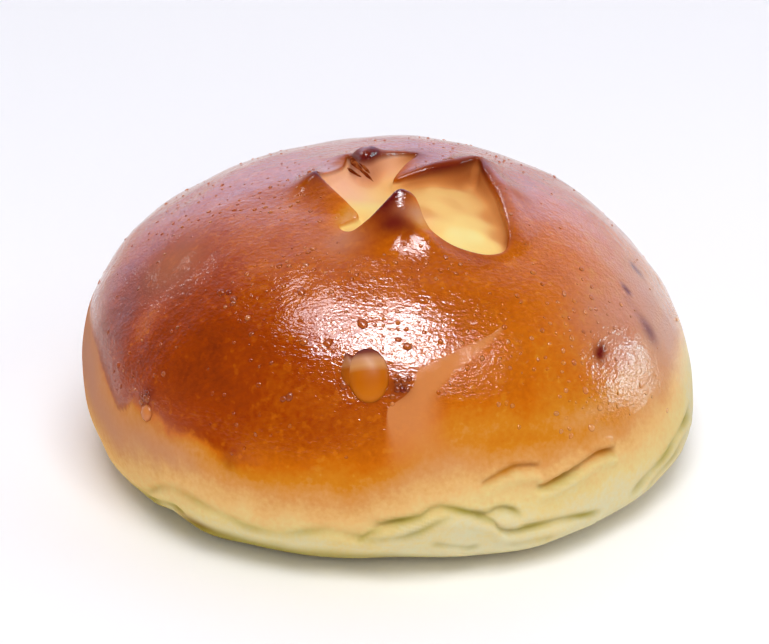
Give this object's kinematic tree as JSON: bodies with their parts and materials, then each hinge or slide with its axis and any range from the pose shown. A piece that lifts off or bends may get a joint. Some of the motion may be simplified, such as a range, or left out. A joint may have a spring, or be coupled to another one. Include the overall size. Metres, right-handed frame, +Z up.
{
  "type": "brioche bun",
  "caption": "Glazed round brioche bun with a flat base, a star cut opened over pale crumb at its crown, and a torn ledge low on one side.",
  "frame": {"origin": "middle of the flat base, under the centre of the bun's plan", "axes": "+Z up through the crown, +X to the bun's right as seen with the torn ledge in front, -Y to its front"},
  "size_m": [0.1, 0.0954, 0.05],
  "materials": {
    "glazed_crust": null
  },
  "bodies": {
    "root": {"brioche_bun": "glazed_crust"}
  },
  "joints": []
}
